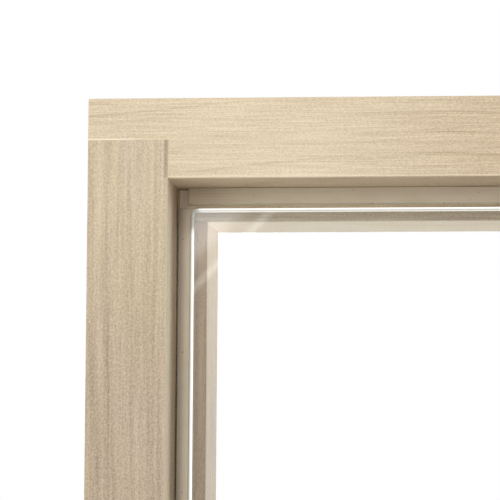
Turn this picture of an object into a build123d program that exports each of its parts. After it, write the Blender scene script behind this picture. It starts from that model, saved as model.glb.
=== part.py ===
from build123d import *
import os

# Glass sauna door in a lapped wooden frame, in millimetres.
# X runs from the hinge side to the latch side, Y from the front into the sauna, Z up.
# The origin is on the hinge jamb's outer side, at mid-depth and floor level.

# Frame
FRAME_WIDTH = 690
FRAME_HEIGHT = 1890
FRAME_DEPTH = 92
FACE_WIDTH = 42
REBATE_DEPTH = 42
JAMB_STOP = 16
HEAD_STOP = 18
JAMB_LAP = 20.2
FRONT_ARRIS = 1.2
ARRIS = 1
THRESHOLD_HEIGHT = 22
THRESHOLD_SETBACK = 3
THRESHOLD_BEVEL = 5

# Seals, each a strip with a bead along its doorway side and a stem in a groove in the stop
SEAL_WIDTH = 8.8
SEAL_THICKNESS = 4.3
SEAL_FLAT = 3.6
SEAL_SHOULDER = 1.4
SEAL_BEAD_RADIUS = 1.2
SEAL_BEAD_FROM_EDGE = 1.7
SEAL_END_CORNER = 1
SEAL_WALL_GAP = 1
HEAD_SEAL_WALL_GAP = 0.4
SEAL_STEM_WIDTH = 2.4
SEAL_STEM_DEPTH = 6
SEAL_GROOVE_CLEARANCE = 0.3
HEAD_SEAL_END_GAP = 5.6
SEAL_CORNER_GAP = 1.2

# Glass leaf
GLASS_THICKNESS = 8
GLASS_SIDE_GAP = 8
GLASS_TOP_GAP = 12
GLASS_BOTTOM_GAP = 7
GLASS_ARRIS = 1.1
GLASS_CORNER = 4
GLASS_SEAL_GAP = 0.7

# Hinges, one near each end of the leaf
HINGE_INSET = 228
HINGE_HEIGHT = 70
PIN_RADIUS = 3
PIN_FROM_WALL = 12
PIN_FROM_GLASS = 9
PIN_CLEARANCE = 0.05
PIN_HEAD_RADIUS = 4.4
PIN_HEAD_HEIGHT = 2.5
PIN_HEAD_ROUND = 2
KNUCKLE_RADIUS = 5.5
KNUCKLE_GAP = 0.5
FRAME_PLATE_THICKNESS = 3
FRAME_PLATE_WIDTH = 22
FRAME_PLATE_SETBACK = 6
FRAME_PLATE_CORNER = 3
FRAME_WEB_THICKNESS = 7
LEAF_PLATE_THICKNESS = 8
LEAF_PLATE_LENGTH = 42
LEAF_PLATE_FROM_PIN = 7
LEAF_PLATE_EDGE = 1.5
LEAF_WEB_RUN = 4
BACK_PLATE_THICKNESS = 5
BACK_PLATE_STOP_GAP = 5
PLATE_CORNER = 5
PAD_THICKNESS = 1
CLAMP_BOLT_RADIUS = 3
CLAMP_BOLT_SPACING = 40
CLAMP_BOLT_FROM_PIN = 29
CLAMP_BOLT_GRIP = 6
CLAMP_HEAD_RADIUS = 5.6
CLAMP_HOLE_RADIUS = 7
CLAMP_SLEEVE_CLEARANCE = 0.5
BOLT_CLEARANCE = 0.2
SOCKET_ACROSS_FLATS = 4
SOCKET_DEPTH = 2.2

# Wood screws of the hinges
HINGE_SCREW_RADIUS = 2
HINGE_SCREW_HEAD_RADIUS = 3.8
HINGE_SCREW_LENGTH = 30
HINGE_SCREW_SPACING = 24
HINGE_SCREW_FROM_EDGE = 4.6

# Screws that hold the frame together
JOINT_SCREW_RADIUS = 2.5
JOINT_SCREW_HEAD_RADIUS = 5
JOINT_SCREW_SPACING = 44
HEAD_SCREW_LENGTH = 80
THRESHOLD_SCREW_LENGTH = 100
SCREW_HEAD_ANGLE = 90

# Holes for fixing the frame into its wall, through each jamb in front of the glass
FIXING_HOLE_RADIUS = 4
FIXING_BORE_RADIUS = 8
FIXING_BORE_DEPTH = 12
FIXING_FROM_FRONT = 18
FIXING_PITCH = 340
FIXING_COUNT = 4
FIXING_CENTRE_HEIGHT = 930

# Handle, a wooden grip on posts on each face of the glass
HANDLE_INSET = 60
HANDLE_HEIGHT = 980
GRIP_LENGTH = 300
GRIP_WIDTH = 30
GRIP_THICKNESS = 24
GRIP_END_THICKNESS = 18
GRIP_ROUND = 5
POST_RADIUS = 10
POST_LENGTH = 30
POST_SPACING = 200
WASHER_RADIUS = 12
WASHER_THICKNESS = 1.5
ROD_RADIUS = 3
ROD_IN_GRIP = 12
ROD_CLEARANCE = 0.2
ROD_HOLE_RADIUS = 6

# Magnetic catch on the latch jamb's stop, with its strike on the glass
CATCH_HEIGHT = 1240
CATCH_LENGTH = 60
CATCH_WIDTH = 14
CATCH_DEPTH = 20
CATCH_PROUD = 1.5
CATCH_ROUND = 1.5
MAGNET_LENGTH = 40
MAGNET_WIDTH = 8
MAGNET_PROUD = 1
MAGNET_DEPTH = 6
MAGNET_GAP = 0.5
STRIKE_LENGTH = 46
STRIKE_WIDTH = 14
STRIKE_ROUND = 3
STRIKE_PAD_THICKNESS = 0.5

# Levels and faces worked out from the sizes above
FRONT = -FRAME_DEPTH / 2
BACK = FRAME_DEPTH / 2
STOP_FACE = FRONT + REBATE_DEPTH
REBATE_TOP = FRAME_HEIGHT - FACE_WIDTH
STOP_UNDERSIDE = REBATE_TOP - HEAD_STOP
JAMB_TOP = REBATE_TOP + JAMB_LAP
LATCH_WALL = FRAME_WIDTH - FACE_WIDTH
STOP_EDGE = FACE_WIDTH + JAMB_STOP
CENTRE_X = FRAME_WIDTH / 2

HEAD_SEAL_LEVEL = REBATE_TOP - HEAD_SEAL_WALL_GAP - SEAL_WIDTH / 2
HEAD_SEAL_START = FACE_WIDTH + HEAD_SEAL_END_GAP
HEAD_SEAL_LENGTH = FRAME_WIDTH - 2 * HEAD_SEAL_START
HEAD_SEAL_PLANE = Plane(
    origin=(HEAD_SEAL_START, STOP_FACE, HEAD_SEAL_LEVEL), x_dir=(0, 0, 1), z_dir=(1, 0, 0)
)
JAMB_SEAL_TOP = REBATE_TOP - HEAD_SEAL_WALL_GAP - SEAL_WIDTH - SEAL_CORNER_GAP
SEAL_BEAD_OFFSET = SEAL_WIDTH / 2 - SEAL_BEAD_FROM_EDGE

GLASS_BACK = STOP_FACE - SEAL_THICKNESS - GLASS_SEAL_GAP
GLASS_FRONT = GLASS_BACK - GLASS_THICKNESS
GLASS_LEFT = FACE_WIDTH + GLASS_SIDE_GAP
GLASS_RIGHT = LATCH_WALL - GLASS_SIDE_GAP
GLASS_TOP = REBATE_TOP - GLASS_TOP_GAP
GLASS_BOTTOM = THRESHOLD_HEIGHT + GLASS_BOTTOM_GAP

PIN_X = FACE_WIDTH + PIN_FROM_WALL
PIN_Y = GLASS_FRONT - PIN_FROM_GLASS
HINGES = {"upper_hinge": GLASS_TOP - HINGE_INSET, "lower_hinge": GLASS_BOTTOM + HINGE_INSET}
KNUCKLE_LENGTH = (HINGE_HEIGHT - 2 * KNUCKLE_GAP) / 3
PLATE_LEFT = PIN_X + LEAF_PLATE_FROM_PIN
PLATE_RIGHT = PLATE_LEFT + LEAF_PLATE_LENGTH
BACK_PLATE_LEFT = STOP_EDGE + BACK_PLATE_STOP_GAP
LEAF_PLATE_BACK = GLASS_FRONT - PAD_THICKNESS
LEAF_PLATE_FRONT = LEAF_PLATE_BACK - LEAF_PLATE_THICKNESS
BACK_PLATE_FRONT = GLASS_BACK + PAD_THICKNESS
BACK_PLATE_BACK = BACK_PLATE_FRONT + BACK_PLATE_THICKNESS
FRAME_PLATE_FRONT = FRONT + FRAME_PLATE_SETBACK
CLAMP_BOLT_X = PIN_X + CLAMP_BOLT_FROM_PIN
HINGE_SCREW_Y = FRAME_PLATE_FRONT + HINGE_SCREW_FROM_EDGE
FIXING_Y = FRONT + FIXING_FROM_FRONT

HANDLE_X = GLASS_RIGHT - HANDLE_INSET
POST_HEIGHTS = (HANDLE_HEIGHT - POST_SPACING / 2, HANDLE_HEIGHT + POST_SPACING / 2)

STRIKE_BACK = STOP_FACE - CATCH_PROUD - MAGNET_PROUD - MAGNET_GAP
CATCH_FRONT = STOP_FACE - CATCH_PROUD
CATCH_X = FRAME_WIDTH - STOP_EDGE - CATCH_WIDTH / 2

os.makedirs("parts", exist_ok=True)


def save(piece, name):
    """Labels a finished piece and writes it."""
    piece.part.label = name
    export_step(piece.part, f"parts/{name}.step")


def from_side(side, distance):
    """The X of a point at a distance from the outer side of the hinge or the latch jamb."""
    return distance if side == "hinge" else FRAME_WIDTH - distance


def span(start, end):
    """The middle and the length of a stretch between two coordinates."""
    return (start + end) / 2, abs(end - start)


# Frame members
def fixing_heights():
    """The heights of the fixing holes, evenly spaced about their centre."""
    first = FIXING_CENTRE_HEIGHT - FIXING_PITCH * (FIXING_COUNT - 1) / 2
    return [first + FIXING_PITCH * step for step in range(FIXING_COUNT)]


def seal_plane(side, height):
    """The plane across a jamb's seal: its origin on the stop, its Y towards the glass."""
    x = from_side(side, FACE_WIDTH + SEAL_WALL_GAP + SEAL_WIDTH / 2)
    return Plane(origin=(x, STOP_FACE, height), x_dir=(-1, 0, 0), z_dir=(0, 0, 1))


def seal_groove(plane, length):
    """Cuts the groove that takes a seal's stem."""
    depth = SEAL_STEM_DEPTH + SEAL_GROOVE_CLEARANCE
    with BuildSketch(plane) as groove:
        with Locations((0, -depth / 2)):
            Rectangle(SEAL_STEM_WIDTH + 2 * SEAL_GROOVE_CLEARANCE, depth)
    extrude(groove.sketch, amount=length, mode=Mode.SUBTRACT)


def joint_screw_seats(side):
    """The planes of the screws through the head into one jamb, and of those into the threshold."""
    x = from_side(side, FACE_WIDTH / 2)
    outwards = (-1, 0, 0) if side == "hinge" else (1, 0, 0)
    offsets = (-JOINT_SCREW_SPACING / 2, JOINT_SCREW_SPACING / 2)
    head_seats = [Plane(origin=(x, y, FRAME_HEIGHT), z_dir=(0, 0, 1)) for y in offsets]
    threshold_seats = [
        Plane(origin=(from_side(side, 0), y, THRESHOLD_HEIGHT / 2), z_dir=outwards)
        for y in offsets
    ]
    return head_seats, threshold_seats


HEAD_SCREW_SEATS = joint_screw_seats("hinge")[0] + joint_screw_seats("latch")[0]
THRESHOLD_SCREW_SEATS = joint_screw_seats("hinge")[1] + joint_screw_seats("latch")[1]


def hinge_screw_seats(centre_height):
    """The planes of one hinge's wood screws, on the face of its frame plate."""
    x = FACE_WIDTH + FRAME_PLATE_THICKNESS
    heights = [centre_height + HINGE_SCREW_SPACING * step for step in (-1, 0, 1)]
    return [Plane(origin=(x, HINGE_SCREW_Y, z), z_dir=(1, 0, 0)) for z in heights]


def make_jamb(side):
    """One jamb: an L-section up to the head's stop, and above it a plain tongue into the head."""
    with BuildPart() as jamb:
        with BuildSketch(Plane.XY):
            with BuildLine():
                Polyline(
                    (from_side(side, 0), FRONT),
                    (from_side(side, FACE_WIDTH), FRONT),
                    (from_side(side, FACE_WIDTH), STOP_FACE),
                    (from_side(side, STOP_EDGE), STOP_FACE),
                    (from_side(side, STOP_EDGE), BACK),
                    (from_side(side, 0), BACK),
                    close=True,
                )
            make_face()
        extrude(amount=STOP_UNDERSIDE)
        with BuildSketch(Plane.XY.offset(STOP_UNDERSIDE)):
            with Locations((from_side(side, FACE_WIDTH / 2), 0)):
                Rectangle(FACE_WIDTH, FRAME_DEPTH)
        extrude(amount=JAMB_TOP - STOP_UNDERSIDE)

        uprights = jamb.edges().filter_by(Axis.Z)
        front_edges = uprights.group_by(Axis.Y)[0].sort_by_distance((CENTRE_X, FRONT, 0))
        fillet(front_edges[0], FRONT_ARRIS)
        uprights = jamb.edges().filter_by(Axis.Z)
        stop_edges = uprights.filter_by_position(Axis.X, *sorted(
            (from_side(side, STOP_EDGE - ARRIS), from_side(side, STOP_EDGE + ARRIS))))
        outer_edges = uprights.filter_by_position(Axis.X, *sorted(
            (from_side(side, -ARRIS), from_side(side, ARRIS))))
        fillet(stop_edges + outer_edges, ARRIS)

        seal_groove(seal_plane(side, 0), STOP_UNDERSIDE)
        inwards = (1, 0, 0) if side == "hinge" else (-1, 0, 0)
        wall_x = from_side(side, FACE_WIDTH)
        with Locations(*[Plane(origin=(wall_x, FIXING_Y, z), z_dir=inwards)
                         for z in fixing_heights()]):
            CounterBoreHole(FIXING_HOLE_RADIUS, FIXING_BORE_RADIUS, FIXING_BORE_DEPTH, FACE_WIDTH)
        head_seats, threshold_seats = joint_screw_seats(side)
        with Locations(*head_seats):
            Hole(JOINT_SCREW_RADIUS, HEAD_SCREW_LENGTH)
        with Locations(*threshold_seats):
            CounterSinkHole(JOINT_SCREW_RADIUS, JOINT_SCREW_HEAD_RADIUS, FACE_WIDTH + JAMB_STOP,
                            counter_sink_angle=SCREW_HEAD_ANGLE)
        if side == "hinge":
            for height in HINGES.values():
                with Locations(*hinge_screw_seats(height)):
                    Hole(HINGE_SCREW_RADIUS, HINGE_SCREW_LENGTH)
    return jamb


hinge_jamb = make_jamb("hinge")
save(hinge_jamb, "hinge_jamb")
latch_jamb = make_jamb("latch")
save(latch_jamb, "latch_jamb")

with BuildPart() as head:
    with BuildSketch(Plane.YZ):
        with BuildLine():
            Polyline(
                (FRONT, REBATE_TOP),
                (FRONT, FRAME_HEIGHT),
                (BACK, FRAME_HEIGHT),
                (BACK, STOP_UNDERSIDE),
                (STOP_FACE, STOP_UNDERSIDE),
                (STOP_FACE, REBATE_TOP),
                close=True,
            )
        make_face()
    extrude(amount=FRAME_WIDTH)
    long_edges = head.edges().filter_by(Axis.X)
    rebate_corner = long_edges.sort_by_distance((CENTRE_X, STOP_FACE, REBATE_TOP))[0]
    fillet([edge for edge in long_edges if edge != rebate_corner], ARRIS)
    top_ends = head.edges().filter_by(Axis.Y).group_by(Axis.Z)[-1]
    fillet(top_ends, ARRIS)
    for side in ("hinge", "latch"):
        with Locations((from_side(side, FACE_WIDTH / 2), 0, STOP_UNDERSIDE)):
            Box(FACE_WIDTH, FRAME_DEPTH, JAMB_TOP - STOP_UNDERSIDE,
                align=(Align.CENTER, Align.CENTER, Align.MIN), mode=Mode.SUBTRACT)
    seal_groove(HEAD_SEAL_PLANE, HEAD_SEAL_LENGTH)
    with Locations(*HEAD_SCREW_SEATS):
        CounterSinkHole(JOINT_SCREW_RADIUS, JOINT_SCREW_HEAD_RADIUS, FACE_WIDTH,
                        counter_sink_angle=SCREW_HEAD_ANGLE)
save(head, "head")

with BuildPart() as threshold:
    middle_x, length = span(FACE_WIDTH, LATCH_WALL)
    with BuildSketch(Plane.YZ.offset(FACE_WIDTH)):
        with Locations((0, THRESHOLD_HEIGHT / 2)):
            Rectangle(FRAME_DEPTH - 2 * THRESHOLD_SETBACK, THRESHOLD_HEIGHT)
    extrude(amount=length)
    top_edges = threshold.edges().filter_by(Axis.X).group_by(Axis.Z)[-1]
    chamfer(top_edges, THRESHOLD_BEVEL)
    stop_y, stop_depth = span(STOP_FACE, BACK)
    for side in ("hinge", "latch"):
        with Locations((from_side(side, FACE_WIDTH + JAMB_STOP / 2), stop_y, 0)):
            Box(JAMB_STOP, stop_depth, 2 * THRESHOLD_HEIGHT, mode=Mode.SUBTRACT)
    with Locations(*THRESHOLD_SCREW_SEATS):
        Hole(JOINT_SCREW_RADIUS, THRESHOLD_SCREW_LENGTH)
save(threshold, "threshold")


# Seals
def make_seal(plane, doorway_side, length, stem_length):
    """A beaded strip on the stop with rounded ends, and the stem that sits in the groove.

    The doorway side is 1 or -1, the way along the plane's X that the bead lies."""
    with BuildPart() as seal:
        with BuildSketch(plane) as strip:
            with Locations((0, SEAL_FLAT / 2)):
                Rectangle(SEAL_WIDTH, SEAL_FLAT)
            fillet(strip.vertices().group_by(Axis.Y)[-1], SEAL_SHOULDER)
            with Locations((doorway_side * SEAL_BEAD_OFFSET, SEAL_THICKNESS - SEAL_BEAD_RADIUS)):
                Circle(SEAL_BEAD_RADIUS)
        extrude(amount=length)
        middle = plane.origin + plane.z_dir * length / 2
        with BuildSketch(Plane(origin=middle, x_dir=plane.z_dir, z_dir=plane.y_dir)):
            RectangleRounded(length, SEAL_WIDTH, SEAL_END_CORNER)
        extrude(amount=SEAL_THICKNESS, mode=Mode.INTERSECT)
        with BuildSketch(plane):
            with Locations((0, -SEAL_STEM_DEPTH / 2)):
                Rectangle(SEAL_STEM_WIDTH, SEAL_STEM_DEPTH)
        extrude(amount=stem_length)
    return seal


head_seal = make_seal(HEAD_SEAL_PLANE, -1, HEAD_SEAL_LENGTH, HEAD_SEAL_LENGTH)
save(head_seal, "head_seal")
for side, doorway_side in (("hinge", -1), ("latch", 1)):
    jamb_seal = make_seal(
        seal_plane(side, THRESHOLD_HEIGHT),
        doorway_side,
        JAMB_SEAL_TOP - THRESHOLD_HEIGHT,
        STOP_UNDERSIDE - THRESHOLD_HEIGHT,
    )
    save(jamb_seal, f"{side}_jamb_seal")


# Screws
def make_screws(seats, radius, head_radius, length, socket_across_flats=0):
    """Countersunk screws with their heads flush in their seats, and a hexagon socket if told."""
    head_height = head_radius - radius
    with BuildPart() as screws:
        with Locations(*seats):
            Cylinder(radius, length, align=(Align.CENTER, Align.CENTER, Align.MAX))
            Cone(radius, head_radius, head_height, align=(Align.CENTER, Align.CENTER, Align.MAX))
        if socket_across_flats:
            for seat in seats:
                with BuildSketch(seat):
                    RegularPolygon(socket_across_flats / 2, 6, major_radius=False)
                extrude(amount=-SOCKET_DEPTH, mode=Mode.SUBTRACT)
    return screws


head_screws = make_screws(
    HEAD_SCREW_SEATS, JOINT_SCREW_RADIUS, JOINT_SCREW_HEAD_RADIUS, HEAD_SCREW_LENGTH
)
save(head_screws, "head_screws")
threshold_screws = make_screws(
    THRESHOLD_SCREW_SEATS, JOINT_SCREW_RADIUS, JOINT_SCREW_HEAD_RADIUS, THRESHOLD_SCREW_LENGTH
)
save(threshold_screws, "threshold_screws")


# Glass leaf
def clamp_bolt_heights(centre_height):
    """The heights of one hinge's two clamp bolts."""
    return centre_height - CLAMP_BOLT_SPACING / 2, centre_height + CLAMP_BOLT_SPACING / 2


with BuildPart() as glass_pane:
    glass_x, glass_width = span(GLASS_LEFT, GLASS_RIGHT)
    glass_z, glass_height = span(GLASS_BOTTOM, GLASS_TOP)
    with BuildSketch(Plane.XZ.offset(-GLASS_BACK)):
        with Locations((glass_x, glass_z)):
            RectangleRounded(glass_width, glass_height, GLASS_CORNER)
    extrude(amount=GLASS_THICKNESS)
    faces = glass_pane.faces().filter_by(Axis.Y)
    chamfer(faces.edges(), GLASS_ARRIS)
    with BuildSketch(Plane.XZ.offset(-GLASS_BACK)):
        for hinge_height in HINGES.values():
            with Locations(*[(CLAMP_BOLT_X, z) for z in clamp_bolt_heights(hinge_height)]):
                Circle(CLAMP_HOLE_RADIUS)
        with Locations(*[(HANDLE_X, z) for z in POST_HEIGHTS]):
            Circle(ROD_HOLE_RADIUS)
    extrude(amount=GLASS_THICKNESS, mode=Mode.SUBTRACT)
save(glass_pane, "glass_pane")


# Hinges
def knuckle(start_height, length, bore_radius):
    """Adds one knuckle round the pin, bored for it."""
    with Locations((PIN_X, PIN_Y, start_height + length / 2)):
        Cylinder(KNUCKLE_RADIUS, length)
        Cylinder(bore_radius, length, mode=Mode.SUBTRACT)


def make_frame_plate(centre_height):
    """The plate on the jamb's rebate wall, with a webbed knuckle at its top and its foot."""
    foot = centre_height - HINGE_HEIGHT / 2
    with BuildPart() as plate:
        plate_y = FRAME_PLATE_FRONT + FRAME_PLATE_WIDTH / 2
        with BuildSketch(Plane.YZ.offset(FACE_WIDTH)):
            with Locations((plate_y, centre_height)):
                RectangleRounded(FRAME_PLATE_WIDTH, HINGE_HEIGHT, FRAME_PLATE_CORNER)
        extrude(amount=FRAME_PLATE_THICKNESS)
        for start in (foot, foot + 2 * (KNUCKLE_LENGTH + KNUCKLE_GAP)):
            web_start = FACE_WIDTH + FRAME_PLATE_THICKNESS / 2
            with BuildSketch(Plane.XY.offset(start)):
                with Locations(((web_start + PIN_X) / 2, PIN_Y)):
                    Rectangle(PIN_X - web_start, FRAME_WEB_THICKNESS)
            extrude(amount=KNUCKLE_LENGTH)
            knuckle(start, KNUCKLE_LENGTH, PIN_RADIUS)
        with Locations(*hinge_screw_seats(centre_height)):
            CounterSinkHole(HINGE_SCREW_RADIUS, HINGE_SCREW_HEAD_RADIUS, FRAME_PLATE_THICKNESS,
                            counter_sink_angle=SCREW_HEAD_ANGLE)
    return plate


def make_leaf_plate(centre_height):
    """The front clamp plate, its middle knuckle on a sloped web, and blind holes for its bolts."""
    knuckle_start = centre_height - KNUCKLE_LENGTH / 2
    with BuildPart() as plate:
        plate_x, plate_length = span(PLATE_LEFT, PLATE_RIGHT)
        with BuildSketch(Plane.XZ.offset(-LEAF_PLATE_BACK)):
            with Locations((plate_x, centre_height)):
                RectangleRounded(plate_length, HINGE_HEIGHT, PLATE_CORNER)
        extrude(amount=LEAF_PLATE_THICKNESS)
        front_face = plate.faces().sort_by(Axis.Y)[0]
        fillet(front_face.edges(), LEAF_PLATE_EDGE)
        with BuildSketch(Plane.XY.offset(knuckle_start)):
            with BuildLine():
                Polyline(
                    (PIN_X, PIN_Y - KNUCKLE_RADIUS),
                    (PLATE_LEFT + LEAF_WEB_RUN, LEAF_PLATE_FRONT),
                    (PLATE_LEFT + LEAF_WEB_RUN, PIN_Y + KNUCKLE_RADIUS),
                    (PIN_X, PIN_Y + KNUCKLE_RADIUS),
                    close=True,
                )
            make_face()
        extrude(amount=KNUCKLE_LENGTH)
        knuckle(knuckle_start, KNUCKLE_LENGTH, PIN_RADIUS + PIN_CLEARANCE)
        with BuildSketch(Plane.XZ.offset(-LEAF_PLATE_BACK)):
            with Locations(*[(CLAMP_BOLT_X, z) for z in clamp_bolt_heights(centre_height)]):
                Circle(CLAMP_BOLT_RADIUS)
        extrude(amount=CLAMP_BOLT_GRIP, mode=Mode.SUBTRACT)
    return plate


def clamp_bolt_seats(centre_height):
    """The planes of one hinge's clamp bolts, on the back plate's inner face."""
    return [Plane(origin=(CLAMP_BOLT_X, BACK_PLATE_BACK, z), z_dir=(0, 1, 0))
            for z in clamp_bolt_heights(centre_height)]


def make_back_plate(centre_height):
    """The clamp plate inside the doorway, clear of the stop, with the bolts' countersinks."""
    with BuildPart() as plate:
        plate_x, plate_length = span(BACK_PLATE_LEFT, PLATE_RIGHT)
        with BuildSketch(Plane.XZ.offset(-BACK_PLATE_BACK)):
            with Locations((plate_x, centre_height)):
                RectangleRounded(plate_length, HINGE_HEIGHT, PLATE_CORNER)
        extrude(amount=BACK_PLATE_THICKNESS)
        back_face = plate.faces().sort_by(Axis.Y)[-1]
        fillet(back_face.edges(), ARRIS)
        with Locations(*clamp_bolt_seats(centre_height)):
            CounterSinkHole(CLAMP_BOLT_RADIUS + BOLT_CLEARANCE, CLAMP_HEAD_RADIUS,
                            BACK_PLATE_THICKNESS, counter_sink_angle=SCREW_HEAD_ANGLE)
    return plate


def make_pad(centre_height, left, back, sleeve_length):
    """A thin pad between plate and glass, with sleeves through the glass where they are told."""
    with BuildPart() as pad:
        pad_x, pad_length = span(left, PLATE_RIGHT)
        bolt_places = [(CLAMP_BOLT_X, z) for z in clamp_bolt_heights(centre_height)]
        with BuildSketch(Plane.XZ.offset(-back)):
            with Locations((pad_x, centre_height)):
                RectangleRounded(pad_length, HINGE_HEIGHT, PLATE_CORNER)
        extrude(amount=PAD_THICKNESS)
        if sleeve_length:
            with BuildSketch(Plane.XZ.offset(-back)):
                with Locations(*bolt_places):
                    Circle(CLAMP_HOLE_RADIUS - CLAMP_SLEEVE_CLEARANCE)
            extrude(amount=-sleeve_length)
        with BuildSketch(Plane.XZ.offset(-back)):
            with Locations(*bolt_places):
                Circle(CLAMP_BOLT_RADIUS + BOLT_CLEARANCE)
        extrude(amount=PAD_THICKNESS + GLASS_THICKNESS, both=True, mode=Mode.SUBTRACT)
    return pad


def make_pin(centre_height):
    """The hinge pin, with a domed head at the top and the foot."""
    with BuildPart() as pin:
        with Locations((PIN_X, PIN_Y, centre_height)):
            Cylinder(PIN_RADIUS, HINGE_HEIGHT)
        for direction in (-1, 1):
            end_plane = Plane(
                origin=(PIN_X, PIN_Y, centre_height + direction * HINGE_HEIGHT / 2),
                z_dir=(0, 0, direction),
            )
            with BuildSketch(end_plane):
                Circle(PIN_HEAD_RADIUS)
            extrude(amount=PIN_HEAD_HEIGHT)
            dome_edge = pin.edges().sort_by(Axis.Z)[-1 if direction > 0 else 0]
            fillet(dome_edge, PIN_HEAD_ROUND)
    return pin


for hinge_name, hinge_height in HINGES.items():
    frame_plate = make_frame_plate(hinge_height)
    save(frame_plate, f"{hinge_name}_frame_plate")
    leaf_plate = make_leaf_plate(hinge_height)
    save(leaf_plate, f"{hinge_name}_leaf_plate")
    back_plate = make_back_plate(hinge_height)
    save(back_plate, f"{hinge_name}_back_plate")
    front_pad = make_pad(hinge_height, PLATE_LEFT, GLASS_FRONT, GLASS_THICKNESS)
    save(front_pad, f"{hinge_name}_front_pad")
    back_pad = make_pad(hinge_height, BACK_PLATE_LEFT, BACK_PLATE_FRONT, 0)
    save(back_pad, f"{hinge_name}_back_pad")
    pin = make_pin(hinge_height)
    save(pin, f"{hinge_name}_pin")
    wood_screws = make_screws(
        hinge_screw_seats(hinge_height),
        HINGE_SCREW_RADIUS,
        HINGE_SCREW_HEAD_RADIUS,
        HINGE_SCREW_LENGTH,
    )
    save(wood_screws, f"{hinge_name}_wood_screws")
    clamp_bolts = make_screws(
        clamp_bolt_seats(hinge_height),
        CLAMP_BOLT_RADIUS,
        CLAMP_HEAD_RADIUS,
        BACK_PLATE_BACK - LEAF_PLATE_BACK + CLAMP_BOLT_GRIP,
        SOCKET_ACROSS_FLATS,
    )
    save(clamp_bolts, f"{hinge_name}_clamp_bolts")


# Handle
def make_grip(foot_y, outwards):
    """A bowed grip: flat towards the glass, an arc on its outer side, long edges rounded."""
    half = GRIP_LENGTH / 2
    with BuildPart() as grip:
        with BuildSketch(Plane.YZ.offset(HANDLE_X - GRIP_WIDTH / 2)):
            with BuildLine():
                Line((foot_y, HANDLE_HEIGHT + half), (foot_y, HANDLE_HEIGHT - half))
                Line((foot_y, HANDLE_HEIGHT - half),
                     (foot_y + outwards * GRIP_END_THICKNESS, HANDLE_HEIGHT - half))
                ThreePointArc(
                    (foot_y + outwards * GRIP_END_THICKNESS, HANDLE_HEIGHT - half),
                    (foot_y + outwards * GRIP_THICKNESS, HANDLE_HEIGHT),
                    (foot_y + outwards * GRIP_END_THICKNESS, HANDLE_HEIGHT + half),
                )
                Line((foot_y + outwards * GRIP_END_THICKNESS, HANDLE_HEIGHT + half),
                     (foot_y, HANDLE_HEIGHT + half))
            make_face()
        extrude(amount=GRIP_WIDTH)
        side_faces = grip.faces().filter_by(Axis.X)
        fillet(side_faces.edges(), GRIP_ROUND)
        with BuildSketch(Plane.XZ.offset(-foot_y)):
            with Locations(*[(HANDLE_X, z) for z in POST_HEIGHTS]):
                Circle(ROD_RADIUS)
        extrude(amount=-outwards * ROD_IN_GRIP, mode=Mode.SUBTRACT)
    return grip


def make_tubes(starts, length, radius):
    """Pairs of short tubes round the rods, each pair from a start outwards, 1 or -1 along Y."""
    with BuildPart() as tubes:
        for start_y, outwards in starts:
            with BuildSketch(Plane.XZ.offset(-start_y)):
                with Locations(*[(HANDLE_X, z) for z in POST_HEIGHTS]):
                    Circle(radius)
                    Circle(ROD_RADIUS + ROD_CLEARANCE, mode=Mode.SUBTRACT)
            extrude(amount=-outwards * length)
    return tubes


OUTER_POST_FOOT = GLASS_FRONT - WASHER_THICKNESS
INNER_POST_FOOT = GLASS_BACK + WASHER_THICKNESS
OUTER_GRIP_FOOT = OUTER_POST_FOOT - POST_LENGTH
INNER_GRIP_FOOT = INNER_POST_FOOT + POST_LENGTH

outer_handle_grip = make_grip(OUTER_GRIP_FOOT, -1)
save(outer_handle_grip, "outer_handle_grip")
inner_handle_grip = make_grip(INNER_GRIP_FOOT, 1)
save(inner_handle_grip, "inner_handle_grip")
outer_handle_posts = make_tubes([(OUTER_POST_FOOT, -1)], POST_LENGTH, POST_RADIUS)
save(outer_handle_posts, "outer_handle_posts")
inner_handle_posts = make_tubes([(INNER_POST_FOOT, 1)], POST_LENGTH, POST_RADIUS)
save(inner_handle_posts, "inner_handle_posts")
handle_washers = make_tubes([(GLASS_FRONT, -1), (GLASS_BACK, 1)], WASHER_THICKNESS, WASHER_RADIUS)
save(handle_washers, "handle_washers")

with BuildPart() as handle_rods:
    rod_start = OUTER_GRIP_FOOT - ROD_IN_GRIP
    rod_end = INNER_GRIP_FOOT + ROD_IN_GRIP
    with BuildSketch(Plane.XZ.offset(-rod_end)):
        with Locations(*[(HANDLE_X, z) for z in POST_HEIGHTS]):
            Circle(ROD_RADIUS)
    extrude(amount=rod_end - rod_start)
save(handle_rods, "handle_rods")

# Catch and strike
with BuildPart() as catch_body:
    with Locations((CATCH_X, CATCH_FRONT + CATCH_DEPTH / 2, CATCH_HEIGHT)):
        Box(CATCH_WIDTH, CATCH_DEPTH, CATCH_LENGTH)
    fillet(catch_body.faces().sort_by(Axis.X)[0].edges(), CATCH_ROUND)
    with Locations((CATCH_X, CATCH_FRONT + MAGNET_DEPTH / 2, CATCH_HEIGHT)):
        Box(MAGNET_WIDTH, MAGNET_DEPTH, MAGNET_LENGTH, mode=Mode.SUBTRACT)
save(catch_body, "catch_body")

with BuildPart() as catch_magnet:
    magnet_y, magnet_depth = span(CATCH_FRONT - MAGNET_PROUD, CATCH_FRONT + MAGNET_DEPTH)
    with Locations((CATCH_X, magnet_y, CATCH_HEIGHT)):
        Box(MAGNET_WIDTH, magnet_depth, MAGNET_LENGTH)
save(catch_magnet, "catch_magnet")

with BuildPart() as strike_pad:
    with BuildSketch(Plane.XZ.offset(-GLASS_BACK - STRIKE_PAD_THICKNESS)):
        with Locations((CATCH_X, CATCH_HEIGHT)):
            RectangleRounded(STRIKE_WIDTH, STRIKE_LENGTH, STRIKE_ROUND)
    extrude(amount=STRIKE_PAD_THICKNESS)
save(strike_pad, "strike_pad")

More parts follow.
